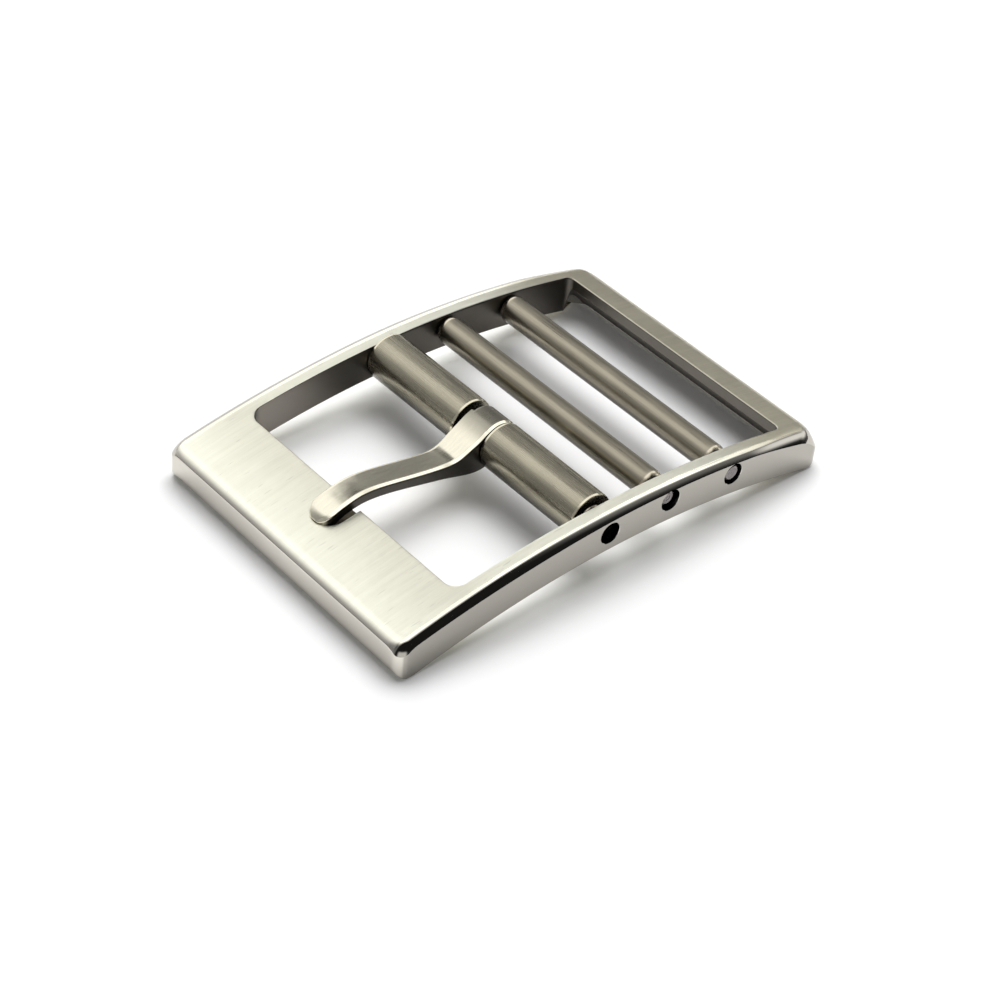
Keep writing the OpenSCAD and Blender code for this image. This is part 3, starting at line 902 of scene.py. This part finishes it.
def prong_rings(t, shape):
    """The prong as a row of closed sections. A section is a box between the upper and the lower line, with
    rounded edges and a flat bevel beside its right upper edge. Its half width follows the plan: wide at the
    knuckle, straight, then a round tip whose half width is nearly the circle's chord."""
    axis_y = bar_axis("tang_bar")[0]
    arm = axis_y - shape.window_front
    root, tip, r = axis_y - 0.45, shape.window_front - t.tip_over, t.prong_half_w
    end = tip + 0.006
    y = root + (end - root) * (1 - (1 - np.linspace(0, 1, 190)) ** 1.5)
    top, low = (np.interp(-y, -line[:, 0], line[:, 1]) for line in tang_lines(t, shape))
    flare = smooth_step(axis_y - 0.42 * arm, axis_y - 0.12 * arm, y)
    into = np.clip((tip + r - y) / r, 0, 1)
    half = (r + (t.knuckle_half_w - r) * flare) * np.sqrt(np.clip(1 - into ** 2.2, 0.0004, 1))
    # The tip's section shrinks to a rounded edge a little below its middle
    middle = low + (top - low) * 0.42
    nearly_tip = np.clip((tip + 0.55 - y) / 0.55, 0, 1)
    close_up = np.sqrt(np.clip(1 - nearly_tip ** 2.4, 0.02, 1))
    top, low = (middle + (z - middle) * close_up for z in (top, low))
    # The top is crowned a little, and more towards the tip
    height = top - low
    crown = 0.015 * np.minimum(1, half) + 0.22 * height * into ** 2
    edge = np.minimum(np.minimum(0.08, half * 0.25), height * 0.2)
    bevel = np.minimum(t.bevel, half * 0.3)
    face = lambda x: top - crown * (x / half) ** 2
    left, start, fall = edge - half, half - edge - bevel, bevel * math.tan(t.bevel_angle)
    rim, foot = face(half - edge), low + edge
    corner = rim - fall
    quarter = np.radians((0, 30, 60, 90))
    # Left upper edge, top, bevel and right upper edge
    ring = [(left - edge * math.sin(a), rim - edge * (1 - math.cos(a))) for a in quarter[::-1]]
    ring += [(x, face(x)) for x in (left + (start - left) * s for s in np.linspace(0, 1, 14)[1:-1])]
    ring += [(start + bevel * s, face(start + bevel * s) - fall * s) for s in (0, 0.05, 0.35, 0.65, 0.95, 1)]
    ring += [(half - edge * (1 - math.sin(a)), corner - edge * (1 - math.cos(a)))
             for a in np.radians((25, 45, 65, 90))]
    # Right side, right lower edge, underside, left lower edge and left side
    ring += [(half, corner - edge + (foot - corner + edge) * s) for s in (0.1, 0.5, 0.9)]
    ring += [(half - edge * (1 - math.cos(a)), foot - edge * math.sin(a)) for a in quarter]
    ring += [((half - edge) * s, low) for s in np.linspace(1, -1, 9)[1:-1]]
    ring += [(left - edge * math.cos(a), foot - edge * math.sin(a)) for a in quarter[::-1]]
    ring += [(-half, rim - edge + (foot - rim + edge) * s) for s in (0.9, 0.5, 0.1)]
    return np.stack([np.stack([x, y, z], -1) for x, z in ring], 1)


def knuckle_profile(t):
    """The knuckle's section: its bore's right end, the right edge, the bevel, the outside, the left edge and
    the bore's left end."""
    w, r, b, e, c = t.knuckle_half_w, t.knuckle_r, t.bore_r, t.knuckle_right_r, t.bore_chamfer
    left_w, left_r = t.knuckle_left_w, t.knuckle_left_r
    start, fall = w - e - t.bevel, t.bevel * math.tan(t.bevel_angle)
    return np.vstack([
        [(w - c, b), (w, b + c)],
        arc((w - e, r - fall - e), e, 0, 75, 7),
        [(start + t.bevel * k, r - fall * k) for k in (1.0, 0.95, 0.5, 0.05, 0.0)],
        [(x, r) for x in np.linspace(start - 0.04, left_r + 0.05 - left_w, 5)],
        arc((left_r - left_w, r - left_r), left_r, 90, 180, 9),
        [(-left_w, b + c), (c - left_w, b)]])


class BUCKLE_OT_tang(bpy.types.Operator):
    """Make the tang: a bored knuckle and a bevelled prong with a round tip"""

    bl_idname = "buckle.tang"
    bl_label = "Tang"

    def execute(self, context):
        t = sizes("tang")
        knuckle = lathe("tang_knuckle", knuckle_profile(t), "tang_bar", 128, loop=True)
        prong = skin("tang_body", prong_rings(t, FrameShape(sizes("frame"))))
        past = t.knuckle_half_w + 0.5
        cut(prong, [lathe("knuckle bore", [(-past, t.bore_r), (past, t.bore_r)], "tang_bar", 128)])
        finish_mesh(prong, 34)
        finish_mesh(knuckle, 34)
        join(prong, knuckle)
        stand_for(prong, "tang", tang_steel(sizes("finish")))
        return {"FINISHED"}


# Tubes and spring bars


def double_ended(node, end, inset, r, bar, count):
    """A round piece with the same end on both sides, as long as the node's box. end is the section of its
    right end from the bore to the outside, with X from the end face; straight lines join the two ends."""
    low, high = cad_box(node)
    end = np.asarray(end)
    outside = [(x, r) for x in np.linspace(high[0] - inset, low[0] + inset, 9)]
    profile = np.vstack([end + (high[0], 0), outside, end[::-1] * (-1, 1) + (low[0], 0)])
    piece = lathe(node + "_body", profile, bar, count, loop=True)
    finish_mesh(piece, 34)
    return piece


class BUCKLE_OT_tubes(bpy.types.Operator):
    """Make the two loose tubes on the tang bar"""

    bl_idname = "buckle.tubes"
    bl_label = "Tubes"

    def execute(self, context):
        s = sizes("bars")
        material = drawn_steel("tube steel", sizes("finish").tube, 0.27, 0.12, 0.35)
        e, chamfer, fall = s.tube_edge, 0.04, s.rim * math.tan(s.rim_angle)
        end = np.vstack([
            [(-chamfer, s.tube_bore_r), (0, s.tube_bore_r + chamfer)],
            arc((-e, s.tube_r - fall - e), e, 0, 70, 5),
            [(-e - s.rim * k, s.tube_r - fall * (1 - k)) for k in (0.03, 0.5, 0.95, 1.0)]])
        for node in ("tube_left", "tube_right"):
            tube = double_ended(node, end, s.rim + 0.1, s.tube_r, "tang_bar", 160)
            stand_for(tube, node, material)
        return {"FINISHED"}


class BUCKLE_OT_barrels(bpy.types.Operator):
    """Make the three spring bars' barrels, with their ends drawn in round the tips"""

    bl_idname = "buckle.barrels"
    bl_label = "Barrels"

    def execute(self, context):
        s = sizes("bars")
        material = drawn_steel("barrel steel", sizes("finish").barrel, 0.3, 0.1, 0.2)
        r, mouth_r, mouth_l, chamfer = s.barrel_r, s.barrel_mouth_r, s.barrel_mouth_l, 0.03
        end = [(-mouth_l, s.barrel_bore_r), (-mouth_l, mouth_r), (-chamfer, mouth_r), (0, mouth_r + chamfer),
               (0, r - 0.2), (-0.02, r - 0.165), (-0.1, r - 0.115), (-0.22, r - 0.06), (-0.36, r - 0.02),
               (-0.46, r - 0.004), (-0.52, r)]
        for bar in BARS:
            node = bar + "_barrel"
            stand_for(double_ended(node, end, 0.8, r, bar, 128), node, material)
        return {"FINISHED"}


class BUCKLE_OT_tips(bpy.types.Operator):
    """Make the six tips that stand in the rails"""

    bl_idname = "buckle.tips"
    bl_label = "Tips"

    def execute(self, context):
        s = sizes("bars")
        material = turned_steel(sizes("finish"))
        r, c, e = s.tip_r, s.collar_r, s.collar_edge
        # The end face with its turned rings and round edge, X counted from that face, then the collar's
        # section, X counted from its inner end
        face = [(-0.05, 0.01), (-0.045, 0.05), (-0.012, 0.1), (-0.012, 0.15), (-0.03, 0.22), (-0.03, 0.28),
                (-0.004, 0.34), (0, 0.4), (0, r - 0.13), (-0.02, r - 0.08), (-0.07, r - 0.03), (-0.15, r)]
        collar = [(s.collar_l + 0.02, r), (s.collar_l, r + 0.02), (s.collar_l, c - e), (s.collar_l - e, c),
                  (e, c), (0, c - e), (0, 0.01)]
        for bar in BARS:
            for side, sign in (("left", -1), ("right", 1)):
                node = f"{bar}_tip_{side}"
                low, high = cad_box(node)
                outer, inner = (high[0], low[0]) if sign > 0 else (-low[0], -high[0])
                profile = np.vstack([np.array(face) + (outer, 0), np.array(collar) + (inner, 0)])
                tip = lathe(node + "_body", profile * (sign, 1), bar, 96)
                finish_mesh(tip, 34)
                stand_for(tip, node, material)
        return {"FINISHED"}


class BUCKLE_OT_springs(bpy.types.Operator):
    """Make the coil spring inside each bar, in two halves, one towards each of the bar's tips"""

    bl_idname = "buckle.springs"
    bl_label = "Springs"

    def execute(self, context):
        s = sizes("bars")
        material = drawn_steel("spring wire steel", sizes("finish").wire, 0.25, 0.06)
        steps, around, wire = s.coil_turns * 32, 12, s.wire_d / 2
        a = np.linspace(0, 2 * np.pi * s.coil_turns, steps + 1)[:, None]
        b = np.linspace(0, 2 * np.pi, around, endpoint=False)[None, :]
        for bar in BARS:
            node = bar + "_spring"
            low, high = cad_box(node)
            ay, az = bar_axis(bar)
            # The wire's centre runs at a steady pitch on a circle of the coil's radius;
            # the section is a circle across it, in the plane of the axis and the radius
            half = (high[0] - low[0]) / 2 - wire
            x = -half + 2 * half * a / a[-1] + wire * np.sin(b)
            r = s.collar_r - wire + wire * np.cos(b)
            rings = np.stack([x, ay + r * np.cos(a), az + r * np.sin(a)], -1)
            middle = steps // 2
            for side, sign, part in (("left", -1, rings[:middle + 1]), ("right", 1, rings[middle:])):
                spring = skin(f"{node}_{side}", part)
                finish_mesh(spring, 60)
                stand_for(spring, node, material, f"{bar}_tip_{side}")
        return {"FINISHED"}


# Stage


def light_path(tree):
    """1 for a ray from the camera, or from a mirror or glass surface, and 0 for light itself."""
    seen = tree.node("LightPath", output="Is Camera Ray")
    for kind in ("Is Glossy Ray", "Is Transmission Ray"):
        seen = seen.math("MAXIMUM", tree.node("LightPath", output=kind))
    return seen


def floor_material(tint):
    """A pale floor that keeps the object's shadow. Seen by the camera or in a reflection it gives a little
    light of its own, so the ground is white where no shadow falls."""
    tree = Tree(bpy.data.materials.new("pale floor"))
    shaded = tree.node("BsdfDiffuse", {"Color": (*tint, 1), "Roughness": 1.0})
    glow = tree.node("Emission", {"Color": (1, 1, 1, 1), "Strength": 0.03})
    both = tree.node("MixShader", [light_path(tree), shaded, tree.node("AddShader", [shaded, glow])])
    tree.node("OutputMaterial", {"Surface": both})
    return tree.owner


def studio_world():
    """White to the camera and even for the floor's light. In reflections, by the direction a ray leaves in:
    a bright box overhead and to the left with a dark gap behind it, a bright wall at the left, a grey wall
    with three bright patches at the back, a softer box at the front right, and a dark room at the right."""
    world = bpy.data.worlds.new("studio")
    bpy.context.scene.world = world
    tree = Tree(world)
    x, y, z = tree.split(tree.node("TexCoord", output="Generated"))
    left = (x - y.fall(-0.1, 0.6) * 0.25).fall(-0.24, -0.02)
    gap = (x + 0.55).math("ABSOLUTE").fall(0.045, 0.11)
    ahead = (y - 0.725 + gap * 0.64).fall(-0.06, 0.06)
    low = (y * -1).math("MAXIMUM", 0.0) * 0.6
    overhead = left * (z + low).rise(0.36, 0.52) * ahead * (0.25 + y.rise(-0.78, -0.3) * 0.75)
    left_wall = x.fall(-0.73, -0.62) * z.rise(0.0, 0.08) * y.band(-0.6, -0.3, 0.66, 0.8)
    left_patch = left * x.rise(-0.47, -0.38) * y.rise(0.70, 0.76) * z.rise(0.30, 0.42)
    middle_patch = x.band(-0.1, 0.05, 0.2, 0.4) * y.rise(0.78, 0.86) * z.rise(0.1, 0.25)
    small_patch = x.band(-0.32, -0.26, -0.12, -0.06) * y.rise(0.58, 0.66) * z.rise(0.48, 0.56)
    front_right = x.rise(0.3, 0.5) * y.fall(-0.5, -0.3) * z.band(0.0, 0.1, 0.36, 0.46) * 0.7
    bright = overhead
    for light in (left_wall, left_patch, middle_patch, small_patch, front_right):
        bright = bright.math("MAXIMUM", light)
    grey = x.fall(0.05, 0.45) * y.rise(0.3, 0.55) * 0.22 + 0.014
    room = bright * 1.24 + (1 - bright) * grey
    tint = tree.node("CombineXYZ", [room, room, room])
    seen = tree.node("Background", {"Color": tint, "Strength": 1.0})
    plain = tree.node("Background", {"Color": (1, 1, 1, 1), "Strength": 0.2})
    white = tree.node("Background", {"Color": (1, 1, 1, 1), "Strength": 1.0})
    lit = tree.node("MixShader", [tree.node("LightPath", output="Is Glossy Ray"), plain, seen])
    final = tree.node("MixShader", [tree.node("LightPath", output="Is Camera Ray"), lit, white])
    tree.node("OutputWorld", {"Surface": final})


def area_light(name, place, target, size, power):
    """A square soft light in metres that looks at the target. The bright box of the world stands for it in
    reflections."""
    data = bpy.data.lights.new(name, "AREA")
    data.shape, data.size, data.energy = "SQUARE", size, power
    obj = linked(name, data)
    obj.visible_glossy = False
    aim = (Vector(target) - Vector(place)).to_track_quat("-Z", "Y")
    obj.matrix_world = Matrix.Translation(place) @ aim.to_matrix().to_4x4()


class BUCKLE_OT_stage(bpy.types.Operator):
    """Set up the camera, the pale floor, the room and the soft light"""

    bl_idname = "buckle.stage"
    bl_label = "Stage"

    def execute(self, context):
        s = context.scene.buckle.stage
        scene = context.scene
        scene.view_settings.view_transform = "Standard"
        ca, sa = math.cos(s.azimuth), math.sin(s.azimuth)
        ce, se = math.cos(s.elevation), math.sin(s.elevation)
        cr, sr = math.cos(s.roll), math.sin(s.roll)
        back, level = Vector((sa * ce, -ca * ce, se)), Vector((ca, sa, 0))
        upright = back.cross(level)
        right, up = level * cr + upright * sr, upright * cr - level * sr
        camera = bpy.data.cameras.new("photo view")
        camera.sensor_width, camera.lens = 36.0, s.focal
        camera.clip_start, camera.clip_end = 0.005, 20
        obj = linked("photo view", camera)
        eye = back * s.distance + right * s.across + up * s.upward - Vector((0, s.behind, 0))
        turn = Matrix((right, up, back)).transposed().to_4x4()
        obj.matrix_world = Matrix.Translation(eye) @ turn
        scene.camera = obj

        h, z = s.floor_size, -0.02 * MM
        mesh = bpy.data.meshes.new("floor")
        mesh.from_pydata([(-h, -h, z), (h, -h, z), (h, h, z), (-h, h, z)], [], [(0, 1, 2, 3)])
        floor = linked("floor", mesh)
        mesh.materials.append(floor_material(s.floor))
        studio_world()
        area_light("soft box", place=(-0.15, 0.16, 0.42), target=(0, 0, 0), size=0.50, power=4.9)
        return {"FINISHED"}


class BUCKLE_PT_panel(bpy.types.Panel):
    """The buckle's pieces and sizes"""

    bl_label = "Tang buckle"
    bl_idname = "BUCKLE_PT_panel"
    bl_space_type = "VIEW_3D"
    bl_region_type = "UI"
    bl_category = "Buckle"

    def draw(self, context):
        for operator in OPERATORS:
            self.layout.operator(operator.bl_idname)
        for key in ("frame", "tang", "bars", "finish", "stage"):
            group = getattr(context.scene.buckle, key)
            box = self.layout.box()
            box.label(text=key.capitalize())
            for prop in group.__annotations__:
                box.prop(group, prop)


OPERATORS = (BUCKLE_OT_stage, BUCKLE_OT_frame, BUCKLE_OT_tang, BUCKLE_OT_tubes, BUCKLE_OT_barrels,
             BUCKLE_OT_tips, BUCKLE_OT_springs)
CLASSES = (BuckleFrameSizes, BuckleTangSizes, BuckleBarSizes, BuckleFinish, BuckleStageSizes, BuckleSettings,
           *OPERATORS, BUCKLE_PT_panel)


def register():
    for c in CLASSES:
        bpy.utils.register_class(c)
    bpy.types.Scene.buckle = PointerProperty(type=BuckleSettings)


def unregister():
    del bpy.types.Scene.buckle
    for c in reversed(CLASSES):
        bpy.utils.unregister_class(c)


def main():
    register()
    bpy.ops.buckle.stage()
    bpy.ops.buckle.frame()
    bpy.ops.buckle.tang()
    bpy.ops.buckle.tubes()
    bpy.ops.buckle.barrels()
    bpy.ops.buckle.tips()
    bpy.ops.buckle.springs()
    bpy.context.view_layer.update()


if __name__ == "__main__":
    main()
